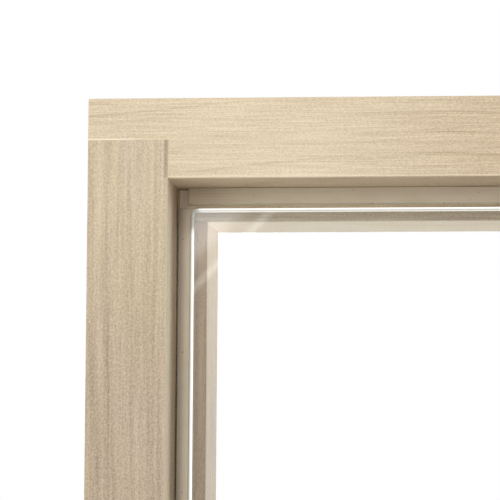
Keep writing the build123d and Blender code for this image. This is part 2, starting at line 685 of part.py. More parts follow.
with BuildPart() as strike_plate:
    strike_y, strike_thickness = span(GLASS_BACK + STRIKE_PAD_THICKNESS, STRIKE_BACK)
    with BuildSketch(Plane.XZ.offset(-STRIKE_BACK)):
        with Locations((CATCH_X, CATCH_HEIGHT)):
            RectangleRounded(STRIKE_WIDTH, STRIKE_LENGTH, STRIKE_ROUND)
    extrude(amount=strike_thickness)
save(strike_plate, "strike_plate")
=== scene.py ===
import math
import bpy
import numpy as np
from mathutils import Matrix, Vector


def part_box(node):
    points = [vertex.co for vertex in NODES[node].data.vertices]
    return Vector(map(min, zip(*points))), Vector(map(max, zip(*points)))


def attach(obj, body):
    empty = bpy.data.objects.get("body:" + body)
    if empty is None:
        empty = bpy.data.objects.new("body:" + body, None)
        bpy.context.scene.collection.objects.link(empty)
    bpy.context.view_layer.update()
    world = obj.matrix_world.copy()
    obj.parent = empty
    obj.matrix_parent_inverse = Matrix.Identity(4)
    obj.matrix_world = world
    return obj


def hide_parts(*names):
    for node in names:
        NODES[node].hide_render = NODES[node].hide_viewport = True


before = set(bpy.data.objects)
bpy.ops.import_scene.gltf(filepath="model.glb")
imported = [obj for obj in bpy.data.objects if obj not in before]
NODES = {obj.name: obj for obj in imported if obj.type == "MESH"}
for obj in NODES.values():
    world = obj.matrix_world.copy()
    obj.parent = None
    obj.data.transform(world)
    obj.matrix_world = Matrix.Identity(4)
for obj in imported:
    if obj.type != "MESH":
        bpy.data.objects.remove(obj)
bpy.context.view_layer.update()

MM = 0.001

# Sizes of the CAD pieces that their boxes don't show
HEAD_STOP = 18 * MM
CATCH_PROUD = 1.5 * MM
GLASS_ARRIS = 1.5 * MM
GLASS_CORNER = 4 * MM
HINGE_SCREW_SPACING = 24 * MM
CLAMP_BOLT_SPACING = 40 * MM
JOINT_SCREW_SPACING = 44 * MM

# Levels read from the frame, in metres: the hinges' plates lie on the rebate's wall, the head is
# as wide as a jamb, and the catch stands proud of the stop's face
HEAD_LOW, HEAD_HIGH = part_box("head")
FRONT = HEAD_LOW.y
TOP = HEAD_HIGH.z
DOOR_WIDTH = HEAD_HIGH.x
CENTRE_X = DOOR_WIDTH / 2
JAMB_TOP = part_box("hinge_jamb")[1].z
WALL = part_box("upper_hinge_frame_plate")[0].x
REBATE_TOP = TOP - WALL
STOP_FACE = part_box("catch_body")[0].y + CATCH_PROUD
GLASS_LOW, GLASS_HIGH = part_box("glass_pane")


# Shader nodes
def node(tree, kind, settings=None, **inputs):
    """Adds a shader node. An input is given by its name, or by its number as i0, i1 and so on, and
    is a value or the socket that feeds it."""
    made = tree.nodes.new(kind)
    for name, value in (settings or {}).items():
        setattr(made, name, value)
    for name, value in inputs.items():
        key = int(name[1:]) if name[0] == "i" and name[1:].isdigit() else name.replace("_", " ")
        socket = made.inputs[key]
        if isinstance(value, bpy.types.NodeSocket):
            tree.links.new(value, socket)
        else:
            socket.default_value = value
    return made


def maths(tree, operation, a, b=0.0, c=0.0, clamp=False):
    """The result socket of one Math node."""
    settings = {"operation": operation, "use_clamp": clamp}
    return node(tree, "ShaderNodeMath", settings, i0=a, i1=b, i2=c).outputs[0]


def product(tree, first, *others):
    """Several values multiplied."""
    for other in others:
        first = maths(tree, "MULTIPLY", first, other)
    return first


def weighted(tree, start, *shares):
    """A start value plus each share times its weight."""
    total = start
    for share, weight in shares:
        total = maths(tree, "MULTIPLY_ADD", share, weight, total)
    return total


def ramp_between(tree, value, low, high):
    """Value carried smoothly from 0 at low to 1 at high."""
    settings = {"interpolation_type": "SMOOTHSTEP"}
    made = node(tree, "ShaderNodeMapRange", settings, Value=value, From_Min=low, From_Max=high)
    return made.outputs["Result"]


def band(tree, value, middle, half_width):
    """1 at the middle of a band, falling smoothly to 0 at its sides."""
    off = maths(tree, "ABSOLUTE", maths(tree, "SUBTRACT", value, middle))
    return ramp_between(tree, off, half_width, 0.0)


def inside(tree, value, low, high):
    """How far a value lies inside the nearer of two limits."""
    return maths(tree, "MINIMUM", maths(tree, "SUBTRACT", value, low),
                 maths(tree, "SUBTRACT", high, value))


def mix_colour(tree, factor, a, b):
    """The colour socket of a Mix node between two colours."""
    settings = {"data_type": "RGBA", "clamp_factor": True}
    return node(tree, "ShaderNodeMix", settings, i0=factor, i6=a, i7=b).outputs[2]


def object_place(tree):
    """A point's place in its object's own coordinates, which are the door's."""
    return node(tree, "ShaderNodeTexCoord").outputs["Object"]


def axes(tree, vector):
    """The three sockets of a vector: X, Y and Z."""
    return node(tree, "ShaderNodeSeparateXYZ", None, Vector=vector).outputs


def stretched(tree, vector, scale, offset=(0, 0, 0)):
    """A vector multiplied by three scales and moved by an offset."""
    return node(tree, "ShaderNodeVectorMath", {"operation": "MULTIPLY_ADD"}, i0=vector, i1=scale,
                i2=offset).outputs[0]


def noise(tree, vector, scale, detail=2.0, rough=0.5):
    """The value socket of a Noise texture."""
    return node(tree, "ShaderNodeTexNoise", None, Vector=vector, Scale=scale, Detail=detail,
                Roughness=rough).outputs[0]


def looked_at(tree):
    """1 where a surface is seen directly, mirrored or through glass, 0 where it would only light
    other surfaces."""
    path = node(tree, "ShaderNodeLightPath")
    return maths(tree, "MAXIMUM", path.outputs["Is Camera Ray"],
                 maths(tree, "MAXIMUM", path.outputs["Is Glossy Ray"],
                       path.outputs["Is Transmission Ray"]))


def srgb(red, green, blue):
    """A colour given as it looks on a screen, 0 to 255, as the linear values that a shader takes."""
    linear = []
    for channel in (red, green, blue):
        share = channel / 255
        linear.append(share / 12.92 if share <= 0.04045 else ((share + 0.055) / 1.055) ** 2.4)
    return (*linear, 1.0)


def new_material(name):
    """A material with an empty tree but for its output and one Principled shader."""
    material = bpy.data.materials.new(name)
    material.use_nodes = True
    tree = material.node_tree
    shader = tree.nodes["Principled BSDF"]
    return material, tree, shader


def give_bumps(tree, shader, height, strength, distance):
    """Tilts the shading of a finish as bumps of a height would, this far from low to high."""
    bump = node(tree, "ShaderNodeBump", None, Strength=strength, Distance=distance,
                Height=height)
    tree.links.new(bump.outputs[0], shader.inputs["Normal"])


def dress(piece, material):
    """Gives a mesh one material in place of those it has."""
    piece.data.materials.clear()
    piece.data.materials.append(material)


# Wood
HEAD_PALE = srgb(238, 221, 192)
HEAD_WARM = srgb(234, 216, 187)
HEAD_DARK = srgb(172, 144, 110)
JAMB_PALE = srgb(219, 201, 170)
JAMB_WARM = srgb(220, 199, 176)
JAMB_DARK = srgb(141, 123, 107)
# Paler wood: where the grain goes pale, and the painted light
PALE_GRAIN_AND_PAINTED_LIGHT = (1.0, 0.95, 0.86, 1)
# Painted warm shade: a redder, deeper tone for the rebate's walls and the stop under the glass
WARM_SHADE_WOOD = srgb(212, 160, 112)
# Painted highlight along the arrises
ARRIS_HIGHLIGHT_WOOD = srgb(250, 236, 208)

# Growth rings: how far quick and slow noise bend them, the power by which each one darkens, the
# share of it that starts from pale, and the values of a noise between which it comes and goes
RING_BEND = 12 * MM
RING_DRIFT = 24 * MM
RING_SHARPNESS = 11.0
RING_START = 0.1
RING_PATCHES = 0.4, 0.62

# Marks: the middle values of the noises, the values between which pores and blotches appear, how
# deep the plain wood and its pores are in tone, and how much a negative depth lightens the wood,
# which pales the grain and lays in the painted light
STRAND_MIDDLE = 0.42
NOISE_MIDDLE = 0.5
PORE_RANGE = 0.62, 0.74
BLOTCH_RANGE = 0.35, 0.7
PLAIN_DEPTH = 0.12
PORE_SHOW = 0.12
LIGHTENING = 0.8

# Surface: the roughness between the fibres and how much they add, and how far pores sink
WOOD_ROUGHNESS = 0.52
FIBRE_ROUGHNESS = 0.16
PORE_SINK = 0.6


def board_space(tree, grain):
    """Object coordinates turned so that X runs along the grain, Y into the door, Z across."""
    place = object_place(tree)
    if grain == "x":
        return place
    across, deep, up = axes(tree, place)
    return node(tree, "ShaderNodeCombineXYZ", None, X=up, Y=deep, Z=across).outputs[0]


def grain_noise(tree, place, along, across, shift=0.0, detail=1.0, rough=0.5):
    """Noise drawn out along the grain: along and across are its patterns to the metre, and shift
    moves it along the grain, so that no two noises run together."""
    drawn = stretched(tree, place, (along, across, across), (shift, 0, 0))
    return noise(tree, drawn, 1.0, detail, rough)


def growth_rings(tree, place, moved, pith, ring, wave):
    """Thin dark rings: the distance from a pith that runs along the grain, waving across it and
    bent by slow noise, over the ring's width. Each ring darkens slowly, ends sharply and comes
    and goes along its length. wave is how far it swings, its length and where it starts."""
    bend = grain_noise(tree, moved, along=2.2, across=9, detail=2.0)
    drift = grain_noise(tree, moved, along=0.6, across=2.5, shift=3.1, detail=0.0)
    swing, length, start = wave
    along, deep, across = axes(tree, place)
    turn = product(tree, maths(tree, "SUBTRACT", along, start), 2 * math.pi / length)
    across = weighted(tree, maths(tree, "SUBTRACT", across, pith[1]),
                      (maths(tree, "SINE", turn), -swing))
    deep = maths(tree, "SUBTRACT", deep, pith[0])
    radius = maths(tree, "SQRT", weighted(tree, 0.0, (across, across), (deep, deep)))
    radius = weighted(tree, radius, (bend, RING_BEND), (drift, RING_DRIFT))
    phase = maths(tree, "FRACT", maths(tree, "DIVIDE", radius, ring))
    patchy = grain_noise(tree, moved, along=6, across=60, detail=2.0)
    return product(tree, maths(tree, "POWER", phase, RING_SHARPNESS),
                   ramp_between(tree, phase, 0.0, RING_START),
                   ramp_between(tree, patchy, *RING_PATCHES))


def wood_material(name, grain, pith, pale, warm, dark, ring=11 * MM, ring_show=0.42,
                  fleck_show=1.0, fibre_show=0.8, strand_show=0.25, fleck_length=850,
                  fineness=2300, wave=(4 * MM, 0.7, 0.0), seed=0.0, shade=None,
                  sheen_lines=None, painted_warm_shade=None):
    """Planed pale wood as a solid of the log: growth rings, short flecks and long fibres drawn
    out along the grain, pores, strands and soft warm blotches. pith is its Y and its place
    across. The marks add up to a depth of tone between pale and dark; a board's painted shade
    adds to that depth, and painted warm shade and painted highlights are mixed in over it."""
    material, tree, shader = new_material(name)
    place = board_space(tree, grain)
    moved = stretched(tree, place, (1, 1, 1), (seed, 0, 0))
    rings = growth_rings(tree, place, moved, pith, ring, wave)
    fleck = grain_noise(tree, moved, along=fleck_length, across=fineness)
    fibre = grain_noise(tree, moved, along=28, across=0.9 * fineness, shift=4)
    strand = grain_noise(tree, moved, along=7, across=240, shift=9, detail=3.0, rough=0.55)
    pores = grain_noise(tree, moved, along=60, across=2600, shift=5)
    pores = ramp_between(tree, pores, *PORE_RANGE)
    blotch = grain_noise(tree, moved, along=9, across=26, shift=1.7, detail=2.0)

    depth = weighted(tree, PLAIN_DEPTH,
                     (maths(tree, "SUBTRACT", strand, STRAND_MIDDLE), strand_show),
                     (maths(tree, "SUBTRACT", fibre, NOISE_MIDDLE), fibre_show),
                     (maths(tree, "SUBTRACT", fleck, NOISE_MIDDLE), fleck_show),
                     (rings, ring_show), (pores, PORE_SHOW))
    # The board's painted shade deepens the tone where shade falls, and its negative parts paint
    # light
    if shade:
        depth = maths(tree, "ADD", depth, shade(tree))
    tone = mix_colour(tree, ramp_between(tree, blotch, *BLOTCH_RANGE), pale, warm)
    colour = mix_colour(tree, maths(tree, "MAXIMUM", depth, 0.0), tone, dark)
    lightened = maths(tree, "MULTIPLY", depth, -LIGHTENING, clamp=True)
    colour = mix_colour(tree, lightened, colour, PALE_GRAIN_AND_PAINTED_LIGHT)
    # Painted warm shade, then painted highlights along the arrises
    if painted_warm_shade:
        colour = mix_colour(tree, painted_warm_shade(tree), colour, WARM_SHADE_WOOD)
    if sheen_lines:
        colour = mix_colour(tree, sheen_lines(tree), colour, ARRIS_HIGHLIGHT_WOOD)
    tree.links.new(colour, shader.inputs["Base Color"])

    rough = weighted(tree, WOOD_ROUGHNESS, (fibre, FIBRE_ROUGHNESS))
    tree.links.new(rough, shader.inputs["Roughness"])
    shader.inputs["Specular IOR Level"].default_value = 0.2
    height = weighted(tree, maths(tree, "ADD", fleck, fibre), (pores, -PORE_SINK))
    give_bumps(tree, shader, height, strength=0.25, distance=0.25 * MM)
    return material


# Places in the rebate: how near a point's depth is to the stop's face to lie on it, how far from
# the rebate's wall the glass covers it, how wide the crease beside the wall is, and how far past
# the wall's plane a point still lies on it
FACE_REACH = 1.2 * MM
GLASS_COVER = 7 * MM, 11 * MM
CREASE_WIDTH = 1.4 * MM, 0.9 * MM
WALL_SKIN = -0.5 * MM, -0.1 * MM
WALL_END = 0.3 * MM

# Painted light and shade on the stop's face: painted light where the glass leaves it bare, painted
# shade under the glass and in the crease, and how much redder it is under the glass, a painted warm
# shade
UNCOVERED_PAINTED_LIGHT = -0.8
COVERED_PAINTED_SHADE = 1.1
CREASE_PAINTED_SHADE = 1.3
COVERED_PAINTED_WARM_SHADE = 0.3


def rebate_place(tree):
    """Where a point lies: its depth, and how far towards the doorway it is from the rebate's wall
    on the nearer jamb and on the head."""
    across, deep, up = axes(tree, object_place(tree))
    from_middle = maths(tree, "ABSOLUTE", maths(tree, "SUBTRACT", across, CENTRE_X))
    from_jamb = maths(tree, "SUBTRACT", CENTRE_X - WALL, from_middle)
    return deep, from_jamb, maths(tree, "SUBTRACT", REBATE_TOP, up)


def stop_places(tree):
    """Where on the stop's face a point is: on it at all, covered by the glass, and in the crease
    beside the rebate's wall."""
    deep, from_jamb, from_head = rebate_place(tree)
    doorwards = maths(tree, "MINIMUM", from_jamb, from_head)
    face = band(tree, deep, STOP_FACE, FACE_REACH)
    covered = product(tree, face, ramp_between(tree, doorwards, *GLASS_COVER))
    crease = product(tree, face, ramp_between(tree, doorwards, *CREASE_WIDTH))
    return face, covered, crease


def stop_painted_shade(tree):
    """The stop's face has painted shade, a little deeper, where the glass covers it, painted light
    outside that, and dark painted shade in the crease."""
    face, covered, crease = stop_places(tree)
    return weighted(tree, 0.0, (face, UNCOVERED_PAINTED_LIGHT), (covered, COVERED_PAINTED_SHADE),
                    (crease, CREASE_PAINTED_SHADE))


def painted_wall_shading(tree, deep, doorwards, start, front, back):
    """A painted gradient of light and shade on the rebate's wall that goes from front at its arris
    to back at the stop. start is the depth where it begins to change."""
    on_wall = product(tree, ramp_between(tree, doorwards, *WALL_SKIN),
                      ramp_between(tree, deep, STOP_FACE, STOP_FACE - WALL_END))
    inward = ramp_between(tree, deep, start, STOP_FACE)
    return product(tree, on_wall, weighted(tree, front, (inward, back - front)))


def head_painted_warm_shade(tree):
    """Painted warm shade: the head's rebate wall is a little redder and deeper at its front."""
    deep, _, doorwards = rebate_place(tree)
    return painted_wall_shading(tree, deep, doorwards, start=FRONT, front=0.17, back=0.0)


def jamb_painted_warm_shade(tree):
    """Painted warm shade: a jamb's rebate wall is a little redder and deeper, and more so its stop
    under the glass.
    """
    deep, doorwards, _ = rebate_place(tree)
    wall = painted_wall_shading(tree, deep, doorwards, start=FRONT, front=0.13, back=0.08)
    _, covered, _ = stop_places(tree)
    return weighted(tree, wall, (covered, COVERED_PAINTED_WARM_SHADE))


# Where the head's tone fades in and how deep it is: painted shade along the head, where the light
# falls off towards the middle of the door, a deeper tone towards its end, and painted light behind
# its stop's face
HEAD_MIDDLE_FADE, HEAD_MIDDLE_PAINTED_SHADE = (0.11, 0.23), 0.3
HEAD_END_FADE, HEAD_END_TONE = (0.07, 0.03), 0.08
UNDER_STOP_FADE, UNDER_STOP_PAINTED_LIGHT = (STOP_FACE + 1 * MM, STOP_FACE + 3 * MM), -0.3


def head_painted_shade(tree):
    """The head has painted shade towards the middle of the door, where the light falls off, and
    inside its rebate towards the stop, painted light under its stop, the stop's own painted shade,
    and a little deeper tone at its end."""
    along = axes(tree, object_place(tree))[0]
    deep, _, doorwards = rebate_place(tree)
    wall = painted_wall_shading(tree, deep, doorwards, start=FRONT + 20 * MM, front=0.0, back=0.17)
    return weighted(tree, maths(tree, "ADD", stop_painted_shade(tree), wall),
                    (ramp_between(tree, along, *HEAD_MIDDLE_FADE), HEAD_MIDDLE_PAINTED_SHADE),
                    (ramp_between(tree, along, *HEAD_END_FADE), HEAD_END_TONE),
                    (ramp_between(tree, deep, *UNDER_STOP_FADE), UNDER_STOP_PAINTED_LIGHT))


# Painted highlights along the arrises: where the middle of each lies, half its width, how clearly
# it shows, and the depths or the length over which it ends
HEAD_ARRIS, HEAD_ARRIS_HALF_WIDTH, HEAD_ARRIS_SHOW = REBATE_TOP + 0.9 * MM, 0.8 * MM, 0.55
HEAD_LINES_END = FRONT + 2 * MM, FRONT + 0.5 * MM
JAMB_END_LINE, JAMB_END_HALF_WIDTH = JAMB_TOP + 0.4 * MM, 0.7 * MM
JAMB_END_FADE = 34 * MM, 16 * MM
JAMB_ARRIS, JAMB_ARRIS_HALF_WIDTH, JAMB_ARRIS_SHOW = WALL - 0.3 * MM, 0.9 * MM, 0.5
JAMB_LINE_END = FRONT + 1.6 * MM, FRONT + 0.6 * MM


def head_painted_highlights(tree):
    """Painted highlights on the arrises: along the head's front lower edge and over the end of the
    jamb.
    """
    along, deep, up = axes(tree, object_place(tree))
    lower = product(tree, band(tree, up, HEAD_ARRIS, HEAD_ARRIS_HALF_WIDTH), HEAD_ARRIS_SHOW)
    over_jamb = product(tree, band(tree, up, JAMB_END_LINE, JAMB_END_HALF_WIDTH),
                        ramp_between(tree, along, *JAMB_END_FADE))
    return product(tree, maths(tree, "MAXIMUM", lower, over_jamb),
                   ramp_between(tree, deep, *HEAD_LINES_END))


# Painted light and shade on a jamb: painted light at its top end, painted shade added below that
# where the light falls off, and painted shade in its joint with the head, a line on the front beside
# the rebate's wall, which starts at this level and ends at this depth
JAMB_END_PAINTED_LIGHT = -0.07
JAMB_LOWER_FADE, JAMB_LOWER_PAINTED_SHADE = (1.86, 1.7), 0.33
JOINT_LINE, JOINT_HALF_WIDTH, JOINT_PAINTED_SHADE = -1.3 * MM, 1.8 * MM, 0.4
JOINT_START = REBATE_TOP, REBATE_TOP + 1 * MM
JOINT_END = FRONT + 4 * MM, FRONT


def jamb_painted_shade(tree):
    """A jamb has painted shade: a little deeper below its top end, where the light falls off,
    towards the stop on its rebate's wall, where painted light lies at the front arris, and along its
    joint with the head, beside the stop's own painted shade."""
    up = axes(tree, object_place(tree))[2]
    deep, doorwards, _ = rebate_place(tree)
    wall = painted_wall_shading(tree, deep, doorwards, start=FRONT, front=-0.55, back=0.42)
    lower = weighted(tree, JAMB_END_PAINTED_LIGHT,
                     (ramp_between(tree, up, *JAMB_LOWER_FADE), JAMB_LOWER_PAINTED_SHADE))
    joint = product(tree, band(tree, doorwards, JOINT_LINE, JOINT_HALF_WIDTH),
                    ramp_between(tree, up, *JOINT_START), ramp_between(tree, deep, *JOINT_END))
    return weighted(tree, maths(tree, "ADD", stop_painted_shade(tree), wall), (lower, 1.0),
                    (joint, JOINT_PAINTED_SHADE))


def jamb_painted_highlight(tree):
    """A painted highlight on the arris down the hinge jamb's front edge beside the rebate."""
    across, deep, _ = axes(tree, object_place(tree))
    return product(tree, band(tree, across, JAMB_ARRIS, JAMB_ARRIS_HALF_WIDTH),
                   ramp_between(tree, deep, *JAMB_LINE_END), JAMB_ARRIS_SHOW)


def dress_wood():
    """Each board has its own place in the log and its own tone."""
    dress(NODES["head"], wood_material(
        "head_wood", "x", (-0.01, REBATE_TOP - 0.16), HEAD_PALE, HEAD_WARM, HEAD_DARK,
        ring_show=0.28, wave=(6 * MM, 0.42, 0.06), seed=2.3, shade=head_painted_shade,
        sheen_lines=head_painted_highlights, painted_warm_shade=head_painted_warm_shade))
    jamb_grain_and_painted_shade = dict(fleck_length=900, fineness=1200, shade=jamb_painted_shade, painted_warm_shade=jamb_painted_warm_shade)
    dress(NODES["hinge_jamb"], wood_material(
        "hinge_jamb_wood", "z", (0.02, -0.12), JAMB_PALE, JAMB_WARM, JAMB_DARK, seed=7.9,
        ring=12 * MM, ring_show=0.2, fleck_show=0.95, fibre_show=0.35, strand_show=0.95,
        sheen_lines=jamb_painted_highlight, **jamb_grain_and_painted_shade))
    dress(NODES["latch_jamb"], wood_material(
        "latch_jamb_wood", "z", (0.01, DOOR_WIDTH + 0.15), JAMB_PALE, JAMB_WARM, JAMB_DARK,
        seed=13.4, ring=10 * MM, ring_show=0.25, fleck_show=0.8, fibre_show=0.3,
        strand_show=0.75, **jamb_grain_and_painted_shade))
    dress(NODES["threshold"], wood_material(
        "threshold_wood", "x", (0.0, -0.09), JAMB_PALE, HEAD_WARM, JAMB_DARK, seed=19.6))
    grip_wood = wood_material(
        "handle_wood", "z", (0.2, 0.45), HEAD_PALE, HEAD_WARM, HEAD_DARK, seed=4.2,
        ring=5 * MM, ring_show=0.4)
    for side in ("outer", "inner"):
        dress(NODES[f"{side}_handle_grip"], grip_wood)
        dress(NODES[f"{side}_handle_posts"], grip_wood)


# Glass, seal, metal and plastic
LIGHT_THROUGH_GLASS = (0.86, 0.88, 0.86, 1)


def glass_material():
    """Clear glass; lamps and soft light pass it unbent and a little dimmed."""
    material, tree, shader = new_material("clear_toughened_glass")
    shader.inputs["Base Color"].default_value = (1, 1, 1, 1)
    shader.inputs["Roughness"].default_value = 0.0
    shader.inputs["IOR"].default_value = 1.52
    shader.inputs["Transmission Weight"].default_value = 1.0
    path = node(tree, "ShaderNodeLightPath")
    lit = maths(tree, "MAXIMUM", path.outputs["Is Shadow Ray"], path.outputs["Is Diffuse Ray"])
    clear = node(tree, "ShaderNodeBsdfTransparent", None, Color=LIGHT_THROUGH_GLASS)
    mixed = node(tree, "ShaderNodeMixShader", None, i0=lit, i1=shader.outputs[0],
                 i2=clear.outputs[0])
    tree.links.new(mixed.outputs[0], tree.nodes["Material Output"].inputs["Surface"])
    return material


# Seal: its two tans, its painted shade beside a jamb's wall, and its dust, whose specks lie in
# cells of this many to the metre, end between these shares of a cell and come in patches
SEAL_TAN = srgb(232, 219, 197)
SEAL_PALE = srgb(245, 234, 214)
SEAL_SHADED = srgb(128, 116, 98)
SEAL_SHADED_WIDTH = 7 * MM
SEAL_SHADED_SHOW = 0.7
DUST = srgb(96, 78, 60)
DUST_CELLS = 220.0
DUST_SIZE = 0.13, 0.07
DUST_PATCHES = 0.47, 0.51
DUST_SHOW = 0.7


def seal_material():
    """Tan silicone, satin, with a faint cloudiness and a few dust specks, which lie about the
    middles of scattered cells; on the jambs a painted shade deepens it towards the rebate's wall."""
    material, tree, shader = new_material("tan_silicone_seal")
    place = object_place(tree)
    cloud = noise(tree, place, scale=90.0, detail=3.0)
    tone = mix_colour(tree, cloud, SEAL_TAN, SEAL_PALE)
    cells = node(tree, "ShaderNodeTexVoronoi", None, Vector=place, Scale=DUST_CELLS)
    patchy = noise(tree, place, scale=60.0, detail=0.0)
    speck = product(tree, ramp_between(tree, cells.outputs["Distance"], *DUST_SIZE),
                    ramp_between(tree, patchy, *DUST_PATCHES), DUST_SHOW)
    colour = mix_colour(tree, speck, tone, DUST)
    _, from_wall, _ = rebate_place(tree)
    shaded = product(tree, ramp_between(tree, from_wall, SEAL_SHADED_WIDTH, 0.0),
                     SEAL_SHADED_SHOW)
    colour = mix_colour(tree, shaded, colour, SEAL_SHADED)
    tree.links.new(colour, shader.inputs["Base Color"])
    tree.links.new(weighted(tree, 0.42, (cloud, 0.2)), shader.inputs["Roughness"])
    shader.inputs["Specular IOR Level"].default_value = 0.25
    grain = noise(tree, place, scale=900.0)
    give_bumps(tree, shader, grain, strength=0.12, distance=0.2 * MM)
    return material


# How much darker steel is in its scratches, and how much lighter moulded parts are in places, in
# steps of 255
SCRATCH_DARKNESS = 16
MOULDED_CLOUDS = 14


def steel_material(name, tone, grain, rough):
    """Brushed stainless steel: fine scratches, drawn out along the axis where grain is smallest,
    in the tone, the roughness and the bumps."""
    material, tree, shader = new_material(name)
    place = object_place(tree)
    scratch = noise(tree, stretched(tree, place, grain), scale=1.0, detail=3.0, rough=0.6)
    cloud = noise(tree, place, scale=40.0)
    darker = [channel - SCRATCH_DARKNESS for channel in tone]
    colour = mix_colour(tree, scratch, srgb(*darker), srgb(*tone))
    tree.links.new(colour, shader.inputs["Base Color"])
    shader.inputs["Metallic"].default_value = 1.0
    worn = weighted(tree, rough, (cloud, 0.08), (scratch, 0.12))
    tree.links.new(worn, shader.inputs["Roughness"])
    give_bumps(tree, shader, scratch, strength=0.12, distance=0.05 * MM)
    return material


def moulded_material(name, tone, rough, grain_size):
    """Moulded plastic or rubber: a fine leathery grain and slight changes of tone."""
    material, tree, shader = new_material(name)
    place = object_place(tree)
    cloud = noise(tree, place, scale=70.0, detail=3.0)
    lighter = [channel + MOULDED_CLOUDS for channel in tone]
    colour = mix_colour(tree, cloud, srgb(*tone), srgb(*lighter))
    tree.links.new(colour, shader.inputs["Base Color"])
    tree.links.new(weighted(tree, rough, (cloud, 0.15)), shader.inputs["Roughness"])
    leather = noise(tree, place, scale=1 / grain_size)
    give_bumps(tree, shader, leather, strength=0.2, distance=0.1 * MM)
    return material


# Painted glow in the pane's top edge: on the front arris it rises from its foot and drops again at
# these shares of the arris, and on the back arris it is weaker
TOP_RISE, TOP_FOOT = (0.14, 0.5), 0.15
TOP_FALL, TOP_DROP = (0.78, 1.0), 0.8
BACK_ARRIS_GLOW, BACK_ARRIS_FADE = 0.58, 0.2 * MM

# Painted glow in its other edges: behind the front arris, and in a line at these shares of it
FLAT_FADE = 0.6 * MM
FRONT_LINE, FRONT_LINE_GLOW = (0.9, 0.0), 0.8

# How far under the pane's top the top edge ends, how far from a corner the painted glow begins
# along the top and along the sides, and the glow that is left in a corner, everywhere, and out of
# sight
TOP_END = 3 * MM, 2 * MM
TOP_CORNER = 2.5 * MM, 6 * MM
SIDE_CORNER = 8 * MM, 15 * MM
CORNER_GLOW = 0.1
FAINT_GLOW = 0.04
UNSEEN_GLOW = 0.4


def top_glow(tree, depth):
    """The painted glow along the pane's top: the middle of the front arris is brightest, the flat
    behind it is faint, and the back arris lies between."""
    risen = ramp_between(tree, depth, *[share * GLASS_ARRIS for share in TOP_RISE])
    fallen = ramp_between(tree, depth, *[share * GLASS_ARRIS for share in TOP_FALL])
    front = product(tree, weighted(tree, 1.0, (fallen, -TOP_DROP)),
                    weighted(tree, TOP_FOOT, (risen, 1.0 - TOP_FOOT)))
    back_arris = GLASS_HIGH.y - GLASS_LOW.y - GLASS_ARRIS
    back = ramp_between(tree, depth, back_arris - BACK_ARRIS_FADE, back_arris)
    return maths(tree, "MAXIMUM", front, product(tree, back, BACK_ARRIS_GLOW))


def side_glow(tree, depth):
    """The painted glow along the pane's other edges: all behind the front arris, and the line where
    that meets the pane's front."""
    behind = ramp_between(tree, depth, GLASS_ARRIS, GLASS_ARRIS + FLAT_FADE)
    line = ramp_between(tree, depth, *[share * GLASS_ARRIS for share in FRONT_LINE])
    return maths(tree, "MAXIMUM", behind, product(tree, line, FRONT_LINE_GLOW))


def ground_edge_painted_glow_material():
    """The ground and polished edge: satin, with a painted glow, standing in for the light that the
    pane leads to its edge, away from its corners."""
    material, tree, shader = new_material("ground_glass_edge_painted_glow")
    shader.inputs["Base Color"].default_value = srgb(192, 190, 181)
    shader.inputs["Roughness"].default_value = 0.3
    across, deep, up = axes(tree, object_place(tree))
    depth = maths(tree, "SUBTRACT", deep, GLASS_LOW.y)
    top = ramp_between(tree, up, *[GLASS_HIGH.z - below for below in TOP_END])
    side = maths(tree, "SUBTRACT", 1.0, top)
    glow = weighted(tree, 0.0, (top, top_glow(tree, depth)), (side, side_glow(tree, depth)))
    from_side = inside(tree, across, GLASS_LOW.x, GLASS_HIGH.x)
    from_end = inside(tree, up, GLASS_LOW.z, GLASS_HIGH.z)
    past_corner = maths(tree, "MAXIMUM", ramp_between(tree, from_side, *TOP_CORNER),
                        ramp_between(tree, from_end, *SIDE_CORNER))
    glow = product(tree, glow, weighted(tree, CORNER_GLOW, (past_corner, 1.0 - CORNER_GLOW)))
    # The painted glow is weaker where it only lights other surfaces
    seen = weighted(tree, UNSEEN_GLOW, (looked_at(tree), 1.0 - UNSEEN_GLOW))
    strength = product(tree, weighted(tree, FAINT_GLOW, (glow, 1.0)), seen)
    shader.inputs["Emission Color"].default_value = (1, 1, 0.98, 1)
    tree.links.new(strength, shader.inputs["Emission Strength"])
    return material


def dress_hardware():
    """Glass, seals, hinges, screws, handle fittings and catch."""
    dress(NODES["glass_pane"], glass_material())
    make_glass_edge(ground_edge_painted_glow_material())
    seal = seal_material()
    for name in ("head_seal", "hinge_jamb_seal", "latch_jamb_seal"):
        dress(NODES[name], seal)
    make_seals(seal)
    upright = steel_material("hinge_steel", (196, 195, 192), grain=(2400, 2400, 60), rough=0.26)
    screw = steel_material("screw_steel", (186, 185, 182), grain=(900, 900, 900), rough=0.3)
    rubber = moulded_material("black_rubber", (30, 30, 30), rough=0.6, grain_size=0.6 * MM)
    for hinge in ("upper_hinge", "lower_hinge"):
        for part in ("frame_plate", "leaf_plate", "back_plate", "pin"):
            dress(NODES[f"{hinge}_{part}"], upright)
        for part in ("wood_screws", "clamp_bolts"):
            dress(NODES[f"{hinge}_{part}"], screw)
        for part in ("front_pad", "back_pad"):
            dress(NODES[f"{hinge}_{part}"], rubber)
    dress(NODES["strike_plate"], upright)
    make_screws(screw)
    for name in ("head_screws", "threshold_screws", "handle_rods"):
        dress(NODES[name], screw)
    for name in ("handle_washers", "strike_pad"):
        dress(NODES[name], rubber)
    dress(NODES["catch_body"],
          moulded_material("brown_plastic", (128, 98, 68), rough=0.45, grain_size=0.8 * MM))
    dress(NODES["catch_magnet"],
          moulded_material("ferrite", (34, 32, 32), rough=0.5, grain_size=0.4 * MM))


